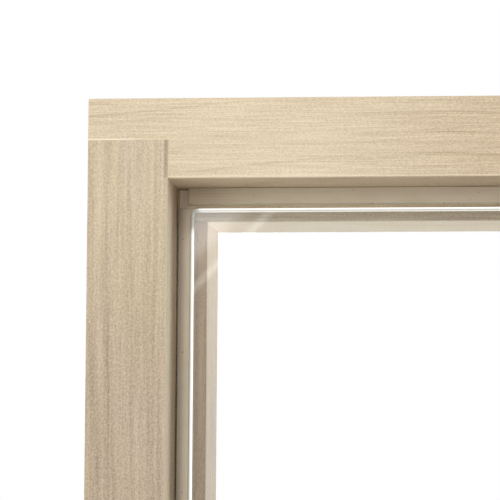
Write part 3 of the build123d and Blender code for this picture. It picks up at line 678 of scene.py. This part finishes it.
# Surfaces on a grid
def grid_piece(name, points, material, wrap_rows=False, caps="none", smooth=40):
    """A closed mesh from a grid of points, rows by columns by XYZ. Columns wrap round; rows wrap
    round too if told, or the first and last row are closed by a flat cap or drawn to a pole. The
    faces are turned outwards by the sign of the volume inside them. Edges sharper than smooth, in
    degrees, stay sharp."""
    rows, columns = points.shape[:2]
    places = points.reshape(-1, 3)
    corner = np.arange(rows * columns).reshape(rows, columns)
    here = corner if wrap_rows else corner[:-1]
    after = np.roll(corner, -1, axis=0) if wrap_rows else corner[1:]
    quads = np.stack([here, np.roll(here, -1, axis=1), np.roll(after, -1, axis=1), after], -1)
    faces = quads.reshape(-1, 4).tolist()
    if caps == "flat":
        faces += [corner[0, ::-1].tolist(), corner[-1].tolist()]
    elif caps == "pole":
        first, last = len(places), len(places) + 1
        places = np.vstack([places, points[0].mean(0), points[-1].mean(0)])
        for pole, ring in ((first, corner[0, ::-1]), (last, corner[-1])):
            faces += [[pole, int(a), int(b)] for a, b in zip(ring, np.roll(ring, -1))]
    triangles = np.array([[face[0], face[step], face[step + 1]] for face in faces
                          for step in range(1, len(face) - 1)])
    a, b, c = (places[triangles[:, step]] for step in range(3))
    if np.einsum("ij,ij->i", a, np.cross(b, c)).sum() < 0:
        faces = [face[::-1] for face in faces]
    mesh = bpy.data.meshes.new(name)
    mesh.from_pydata(places.tolist(), [], faces)
    mesh.shade_smooth()
    mesh.set_sharp_from_angle(angle=math.radians(smooth))
    made = bpy.data.objects.new(name, mesh)
    bpy.context.scene.collection.objects.link(made)
    dress(made, material)
    return made


def joined(name, pieces):
    """Several pieces as one, with the first one's material."""
    with bpy.context.temp_override(active_object=pieces[0], selected_editable_objects=pieces,
                                   selected_objects=pieces):
        bpy.ops.object.join()
    pieces[0].name = name
    return pieces[0]


def quarter(distance, radius):
    """How far a quarter circle of a radius has risen at a distance from its foot, 0 to 1."""
    share = np.clip(distance / radius, 0, 1)
    return np.sqrt(1 - (1 - share) ** 2)


# Seals: the strip's face, its ridge and ribs, how its shoulders and ends are rounded, where its
# section stands and how finely it is drawn, the step in which the stem ends, and half the barbed
# stem's outline as (half width, height) in millimetres
SEAL_WIDTH = 8.8 * MM
SEAL_FLAT = 3.6 * MM
SEAL_RIDGE = 0.4 * MM
SEAL_RIDGE_AT = 7.5 * MM
SEAL_RIDGE_SPREAD = 0.6 * MM
SEAL_SLOPE = 0.3
SEAL_SLOPE_SHARE = 0.7
SEAL_RIB = 0.045 * MM
SEAL_RIB_PITCH = 1.55 * MM
SEAL_SHOULDER = 0.9 * MM
SEAL_REACH = 0.38 * MM
SEAL_WALL_SHOULDER = 0.25 * MM
SEAL_END_ROUND = 1.1 * MM
SEAL_END_HEIGHT = 0.35
SEAL_END_STATIONS = np.array([0, 0.02, 0.08, 0.18, 0.32, 0.5, 0.72, 1.0]) * SEAL_END_ROUND
SEAL_STATIONS = 24
SEAL_POINTS = 81
STEM_STEP = 0.01 * MM
SEAL_STEM = [(1.2, -1.0), (1.2, -1.6), (0.7, -2.4), (1.2, -3.3), (0.7, -4.1), (1.2, -5.0),
             (0.5, -6.0)]


def seal_section():
    """The seal's section as a closed loop of (across, height): a face that rises from a thin lip
    at the wall to a round ridge near the doorway, with fine ribs and rounded shoulders, and below
    it the barbed stem."""
    turn = np.linspace(0, math.pi, SEAL_POINTS)
    across = (1 - np.cos(turn)) / 2 * (SEAL_WIDTH + SEAL_REACH) - SEAL_REACH
    from_ridge = (across - SEAL_RIDGE_AT) / SEAL_RIDGE_SPREAD
    crest = SEAL_FLAT + SEAL_RIDGE * np.exp(-from_ridge ** 2)
    crest -= SEAL_FLAT * SEAL_SLOPE * np.clip(1 - across / (SEAL_SLOPE_SHARE * SEAL_WIDTH), 0, 1)
    crest += SEAL_RIB * np.cos(2 * math.pi * across / SEAL_RIB_PITCH)
    crest *= quarter(across + SEAL_REACH, SEAL_WALL_SHOULDER)
    crest *= quarter(SEAL_WIDTH - across, SEAL_SHOULDER)
    face = np.stack([across, crest], 1)
    stem = np.array([(SEAL_STEM[0][0], 0.0)] + SEAL_STEM) * MM
    right = np.stack([SEAL_WIDTH / 2 + stem[:, 0], stem[:, 1]], 1)
    left = np.stack([SEAL_WIDTH / 2 - stem[::-1, 0], stem[::-1, 1]], 1)
    return np.vstack([face, right, left])


def seal_strip(start, end, stem_end, place):
    """The seal's section carried along its run from start to end. Near each end the section
    narrows and sinks along quarter circles; past stem_end the stem is drawn up into the strip.
    place turns (run, across, height) into XYZ."""
    section = seal_section()
    middle = np.linspace(start + 2 * SEAL_END_ROUND, stem_end - STEM_STEP, SEAL_STATIONS)
    stations = np.concatenate([start + SEAL_END_STATIONS, middle])
    if stem_end < end - 2 * SEAL_END_ROUND:
        stations = np.append(stations, stem_end + STEM_STEP)
    stations = np.unique(np.concatenate([stations[stations < end - SEAL_END_ROUND],
                                         end - SEAL_END_STATIONS]))
    from_end = np.minimum(stations - start, end - stations)[:, None]
    risen = quarter(from_end, SEAL_END_ROUND)
    narrow = 1 - (1 - risen) * 2 * SEAL_END_ROUND / SEAL_WIDTH
    across = SEAL_WIDTH / 2 + (section[:, 0] - SEAL_WIDTH / 2) * narrow
    sink = SEAL_END_HEIGHT + (1 - SEAL_END_HEIGHT) * risen
    stem = np.where(stations[:, None] > stem_end, 0.0, 1.0)
    height = section[:, 1] * np.where(section[:, 1] > 0, sink, stem)
    run = np.broadcast_to(stations[:, None], across.shape)
    return place(run, across, height)


def make_seals(material):
    """The head's strip and both jambs', each in place of its plain CAD strip. The jambs' stems
    end where the head's stop begins."""
    head_low, head_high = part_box("head_seal")
    jamb_low, jamb_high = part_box("hinge_jamb_seal")
    stem_top = REBATE_TOP - HEAD_STOP

    def below_head(run, across, height):
        return np.stack([run, STOP_FACE - height, head_high.z - across], -1)

    def beside_hinge_jamb(run, across, height):
        return np.stack([jamb_low.x + across, STOP_FACE - height, run], -1)

    def beside_latch_jamb(run, across, height):
        return np.stack([DOOR_WIDTH - jamb_low.x - across, STOP_FACE - height, run], -1)

    strips = {
        "head_seal": seal_strip(head_low.x, head_high.x, head_high.x, below_head),
        "hinge_jamb_seal": seal_strip(jamb_low.z, jamb_high.z, stem_top, beside_hinge_jamb),
        "latch_jamb_seal": seal_strip(jamb_low.z, jamb_high.z, stem_top, beside_latch_jamb),
    }
    for node_name, points in strips.items():
        strip = grid_piece(f"{node_name}_strip", points, material, caps="flat", smooth=30)
        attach(strip, "frame")
        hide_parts(node_name)


# Ground edge of the glass, which carries its painted glow: a skin of this thickness, this deep under
# the pane's surface. On a slanting arris it moves in a little farther than it does towards the
# pane's middle.
EDGE_DEPTH = 0.03 * MM
EDGE_THICKNESS = 0.08 * MM
EDGE_INWARD = 1.2
EDGE_SIDEWAYS = [1, 0.4, -0.4, -1]
CORNER_POINTS = 9


def pane_outline(inset):
    """The pane's outline moved inwards by an inset: four quarter circles joined by straights,
    the same number of points for every inset, as (X, Z)."""
    radius = GLASS_CORNER - inset
    turns = np.linspace(0, math.pi / 2, CORNER_POINTS)
    middle = (GLASS_LOW + GLASS_HIGH) / 2
    reach = (GLASS_HIGH - GLASS_LOW) / 2
    corners = []
    for quarter_turn, (x, z) in enumerate(((1, 1), (-1, 1), (-1, -1), (1, -1))):
        angle = turns + quarter_turn * math.pi / 2
        hub_x = middle.x + x * (reach.x - GLASS_CORNER)
        hub_z = middle.z + z * (reach.z - GLASS_CORNER)
        corners.append(np.stack([hub_x + radius * np.cos(angle),
                                 hub_z + radius * np.sin(angle)], 1))
    return np.vstack(corners)


def make_glass_edge(material):
    """The ground finish of the pane's edge, which carries its painted glow: a thin skin just under
    its surface, whose section is the two arrises and the flat between them, carried round the pane's
    outline."""
    front, back = GLASS_LOW.y, GLASS_HIGH.y
    profile = [(GLASS_ARRIS, front), (0.0, front + GLASS_ARRIS), (0.0, back - GLASS_ARRIS),
               (GLASS_ARRIS, back)]
    skins = []
    for depth in (EDGE_DEPTH, EDGE_DEPTH + EDGE_THICKNESS):
        skins.append([(inset + depth * EDGE_INWARD, level + depth * sideways)
                      for (inset, level), sideways in zip(profile, EDGE_SIDEWAYS)])
    outer, inner = skins
    columns = []
    for inset, level in outer + inner[::-1]:
        outline = pane_outline(inset)
        columns.append(np.stack([outline[:, 0], np.full(len(outline), level), outline[:, 1]], 1))
    points = np.stack(columns, 1)
    edge = grid_piece("glass_ground_edge_painted_glow", points, material, wrap_rows=True)
    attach(edge, "leaf")


# Screws
SCREW_COLUMNS = 48
THREAD_ROWS_PER_TURN = 6
THREAD_ROWS_LEAST = 8
THREAD_CORE = 0.76
TOOTH_POWER = 1.5
STAR_LOBE = 0.13


def star_radius(angle, radius):
    """The wall of a six-lobed recess: a circle whose radius swings six times in a turn."""
    return radius * (1 - STAR_LOBE + STAR_LOBE * np.cos(6 * angle))


def hexagon_radius(angle, across_flats):
    """The wall of a hexagon socket: half the width over the cosine of the turn from the middle of
    the nearest flat."""
    return across_flats / 2 / np.cos((angle + math.pi / 6) % (math.pi / 3) - math.pi / 6)


def screw_points(radius, head_radius, length, pitch, recess, recess_radius, recess_depth,
                 thread_start):
    """A countersunk screw with its head's rim at height 0: the radius is a function of the turn
    and of the distance along the screw. The thread is a saw-tooth of distance over pitch less
    the turn; the recess's wall follows its own outline, and its rim is broken by a bevel."""
    turns = np.linspace(0, 2 * math.pi, SCREW_COLUMNS, endpoint=False)
    head_height = head_radius - radius
    thread_rows = max(int((length - thread_start) / pitch * THREAD_ROWS_PER_TURN),
                      THREAD_ROWS_LEAST)
    shank = np.linspace(-length + 2 * pitch, -thread_start, thread_rows)
    core = THREAD_CORE * radius
    tooth = 1 - np.abs(2 * ((shank[:, None] / pitch - turns / (2 * math.pi)) % 1) - 1)
    fade = np.clip((-thread_start - shank) / pitch, 0, 1)[:, None]
    threaded = core + (radius - core) * np.maximum(tooth ** TOOTH_POWER, 1 - fade)
    wall = recess(turns, recess_radius)
    tip = [(-length, 0.15 * radius), (-length + pitch, 0.6 * radius)]
    head = [(-head_height - 0.2 * MM, radius), (-head_height, radius + 0.1 * MM),
            (-0.25 * MM, head_radius - 0.2 * MM), (-0.12 * MM, head_radius - 0.03 * MM),
            (-0.02 * MM, head_radius - 0.12 * MM), (0.0, head_radius - 0.35 * MM)]
    socket = [(0.0, wall + 0.2 * MM), (-0.2 * MM, wall), (-recess_depth, wall * 0.96),
              (-recess_depth - 0.3 * MM, 0.1 * MM)]
    rows = tip + list(zip(shank, threaded)) + head + socket
    heights = np.array([np.full(SCREW_COLUMNS, height) for height, _ in rows])
    radii = np.array([np.broadcast_to(value, SCREW_COLUMNS) for _, value in rows])
    return np.stack([radii * np.cos(turns), radii * np.sin(turns), heights], -1)


def screw_set(name, seats, shape, material, body):
    """One screw's shape at each seat, a place and the direction that its head faces."""
    pieces = []
    for place, facing in seats:
        turned = Vector(facing).to_track_quat("Z", "Y").to_matrix()
        points = shape @ np.array(turned).T + np.array(place)
        pieces.append(grid_piece(f"{name}_one", points, material, caps="pole", smooth=35))
    made = joined(f"{name}_turned", pieces)
    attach(made, body)
    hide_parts(name)


def node_middle(name):
    """The middle of a node's box."""
    low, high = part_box(name)
    return (low + high) / 2


def make_screws(material):
    """Each screw and bolt in place of its plain CAD one, with its thread and recess."""
    hinge_screw = screw_points(radius=2 * MM, head_radius=3.8 * MM, length=30 * MM,
                               pitch=1.8 * MM, recess=star_radius, recess_radius=1.55 * MM,
                               recess_depth=1.6 * MM, thread_start=6 * MM)
    for hinge in ("upper_hinge", "lower_hinge"):
        screws = node_middle(f"{hinge}_wood_screws")
        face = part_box(f"{hinge}_wood_screws")[1].x
        seats = [((face, screws.y, screws.z + step * HINGE_SCREW_SPACING), (1, 0, 0))
                 for step in (-1, 0, 1)]
        screw_set(f"{hinge}_wood_screws", seats, hinge_screw, material, "frame")
        bolts = node_middle(f"{hinge}_clamp_bolts")
        low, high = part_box(f"{hinge}_clamp_bolts")
        clamp_bolt = screw_points(radius=3 * MM, head_radius=5.6 * MM, length=high.y - low.y,
                                  pitch=1 * MM, recess=hexagon_radius, recess_radius=4 * MM,
                                  recess_depth=2.2 * MM, thread_start=6 * MM)
        seats = [((bolts.x, high.y, bolts.z + side * CLAMP_BOLT_SPACING / 2), (0, 1, 0))
                 for side in (-1, 1)]
        screw_set(f"{hinge}_clamp_bolts", seats, clamp_bolt, material, "leaf")
    joint = dict(radius=2.5 * MM, head_radius=5 * MM, pitch=3 * MM, recess=star_radius,
                 recess_radius=2.3 * MM, recess_depth=2.2 * MM)
    head_screw = screw_points(length=80 * MM, thread_start=30 * MM, **joint)
    seats = [((x, side * JOINT_SCREW_SPACING / 2, TOP), (0, 0, 1))
             for x in (WALL / 2, DOOR_WIDTH - WALL / 2) for side in (-1, 1)]
    screw_set("head_screws", seats, head_screw, material, "frame")
    threshold_screw = screw_points(length=100 * MM, thread_start=60 * MM, **joint)
    level = node_middle("threshold_screws").z
    seats = [((x, side * JOINT_SCREW_SPACING / 2, level), (facing, 0, 0))
             for x, facing in ((0, -1), (DOOR_WIDTH, 1)) for side in (-1, 1)]
    screw_set("threshold_screws", seats, threshold_screw, material, "frame")


# Floor: a disc this large and this far under the door, whose grey goes white between these
# distances
FLOOR_RADIUS = 60.0
FLOOR_DROP = 0.5 * MM
FLOOR_POINTS = 128
FLOOR_FADE = 2.2, 7.0
FLOOR_GREY = (0.74, 0.74, 0.74, 1)


def make_floor():
    """A pale disc under the door that fades to the white of the background."""
    turns = np.linspace(0, 2 * math.pi, FLOOR_POINTS, endpoint=False)
    ring = np.stack([np.cos(turns), np.sin(turns), np.zeros_like(turns)], 1) * FLOOR_RADIUS
    ring += np.array([CENTRE_X, 0, -FLOOR_DROP])
    mesh = bpy.data.meshes.new("floor")
    mesh.from_pydata(ring.tolist(), [], [list(range(len(ring)))])
    floor = bpy.data.objects.new("floor", mesh)
    bpy.context.scene.collection.objects.link(floor)
    material, tree, shader = new_material("pale_floor")
    shader.inputs["Base Color"].default_value = FLOOR_GREY
    shader.inputs["Roughness"].default_value = 0.85
    away = node(tree, "ShaderNodeVectorMath", {"operation": "LENGTH"}, i0=object_place(tree))
    fade = ramp_between(tree, away.outputs["Value"], *FLOOR_FADE)
    white = product(tree, fade, looked_at(tree))
    glow = node(tree, "ShaderNodeEmission", None, Strength=1.0)
    mixed = node(tree, "ShaderNodeMixShader", None, i0=white, i1=shader.outputs[0],
                 i2=glow.outputs[0])
    tree.links.new(mixed.outputs[0], tree.nodes["Material Output"].inputs["Surface"])
    dress(floor, material)


# How strongly the white all round lights the door
SKY_LIGHT = 0.22

# The studio that the glass mirrors: the direction of its corner and of the slant across it, how
# far it reaches, and the places and strengths of its patch, the veil beside it and its bar
GLARE_FROM = -0.1235, -0.9853, 0.1172
GLARE_ACROSS = 0.7071, 0.0, -0.7071
GLARE_REACH = 0.03, 0.018
PATCH_SIDE, PATCH_LIGHT = (0.0105, 0.0068), 1.85
VEIL_SIDE, VEIL_LIGHT = (0.016, 0.008), 0.5
BAR_PLACE, BAR_HALF_WIDTH, BAR_LIGHT = 0.0127, 0.0014, 1.6


def mirrored_studio(tree):
    """How much brighter than white the studio in front of the door is where the glass mirrors it:
    a soft lit patch with a straight slanting side and a narrow band beside it, as of a lit wall
    behind a window bar."""
    way = node(tree, "ShaderNodeTexCoord").outputs["Generated"]
    off = node(tree, "ShaderNodeVectorMath", {"operation": "SUBTRACT"}, i0=way,
               i1=GLARE_FROM).outputs[0]
    reach = node(tree, "ShaderNodeVectorMath", {"operation": "LENGTH"}, i0=off).outputs["Value"]
    slant = node(tree, "ShaderNodeVectorMath", {"operation": "DOT_PRODUCT"}, i0=off,
                 i1=GLARE_ACROSS).outputs["Value"]
    bright = weighted(tree, 0.0, (ramp_between(tree, slant, *PATCH_SIDE), PATCH_LIGHT),
                      (ramp_between(tree, slant, *VEIL_SIDE), VEIL_LIGHT),
                      (band(tree, slant, BAR_PLACE, BAR_HALF_WIDTH), BAR_LIGHT))
    return product(tree, bright, ramp_between(tree, reach, *GLARE_REACH))


def make_world():
    """Soft white light from all round; seen directly, mirrored or through glass it is white."""
    world = bpy.data.worlds.new("soft_white")
    bpy.context.scene.world = world
    world.use_nodes = True
    tree = world.node_tree
    sky = weighted(tree, SKY_LIGHT, (looked_at(tree), 1.0 - SKY_LIGHT))
    path = node(tree, "ShaderNodeLightPath")
    strength = weighted(tree, sky, (mirrored_studio(tree), path.outputs["Is Glossy Ray"]))
    background = tree.nodes["Background"]
    background.inputs["Color"].default_value = (1, 1, 1, 1)
    tree.links.new(strength, background.inputs["Strength"])


WHITE = 1, 1, 1
COOL_WHITE = 0.9, 0.955, 1.0
LAMP_SIZE = 2.2
DOOR_MIDDLE = Vector((CENTRE_X, 0, 1.0))


def area_light(name, place, power, colour=WHITE):
    """A square lamp at a place, facing the door's middle, that only lights and is never seen."""
    lamp = bpy.data.lights.new(name, "AREA")
    lamp.shape = "SQUARE"
    lamp.size = LAMP_SIZE
    lamp.energy = power
    lamp.color = colour
    made = bpy.data.objects.new(name, lamp)
    bpy.context.scene.collection.objects.link(made)
    made.location = place
    made.rotation_euler = (DOOR_MIDDLE - Vector(place)).to_track_quat("-Z", "Y").to_euler()
    made.visible_camera = False
    made.visible_glossy = False
    made.visible_transmission = False


def make_lights():
    """Broad lamps above, in front, at the left, and low and high behind at the right."""
    area_light("top_lamp", (CENTRE_X, -0.6, 4.2), power=15)
    area_light("front_lamp", (CENTRE_X - 0.3, -3.0, 3.0), power=53)
    area_light("left_lamp", (CENTRE_X - 2.4, -2.4, 1.8), power=34)
    area_light("low_back_lamp", (CENTRE_X + 1.6, 3.2, 0.6), power=180, colour=COOL_WHITE)
    area_light("high_back_lamp", (CENTRE_X + 1.8, 3.0, 2.6), power=42, colour=COOL_WHITE)


# Camera: its distance from what it aims at, X and Z of that on the frame's front, its turns in
# degrees, its lens and sensor in millimetres, and how near and far it sees
CAMERA_DISTANCE = 2.5
CAMERA_AIM_X, CAMERA_AIM_Z = 0.0848, 1.81068
CAMERA_YAW, CAMERA_PITCH, CAMERA_ROLL = 6.229, 6.388, 0.434
CAMERA_LENS = 350.0
CAMERA_SENSOR = 36
CAMERA_CLIP = 0.05, 200


def make_camera():
    """The close view of the hinge side's top corner, from the right and from below."""
    lens = bpy.data.cameras.new("camera")
    lens.lens = CAMERA_LENS
    lens.sensor_width = CAMERA_SENSOR
    lens.clip_start, lens.clip_end = CAMERA_CLIP
    camera = bpy.data.objects.new("camera", lens)
    bpy.context.scene.collection.objects.link(camera)
    yaw, pitch, roll = map(math.radians, (CAMERA_YAW, CAMERA_PITCH, CAMERA_ROLL))
    ahead = Vector((-math.sin(yaw) * math.cos(pitch), math.cos(yaw) * math.cos(pitch),
                    math.sin(pitch)))
    level = Vector((math.cos(yaw), math.sin(yaw), 0))
    above = level.cross(ahead)
    right = math.cos(roll) * level + math.sin(roll) * above
    up = math.cos(roll) * above - math.sin(roll) * level
    place = Vector((CAMERA_AIM_X, FRONT, CAMERA_AIM_Z)) - ahead * CAMERA_DISTANCE
    camera.matrix_world = Matrix((
        (right.x, up.x, -ahead.x, place.x),
        (right.y, up.y, -ahead.y, place.y),
        (right.z, up.z, -ahead.z, place.z),
        (0, 0, 0, 1),
    ))
    bpy.context.scene.camera = camera


bpy.context.scene.view_settings.view_transform = "Standard"
dress_wood()
dress_hardware()
make_floor()
make_world()
make_lights()
make_camera()
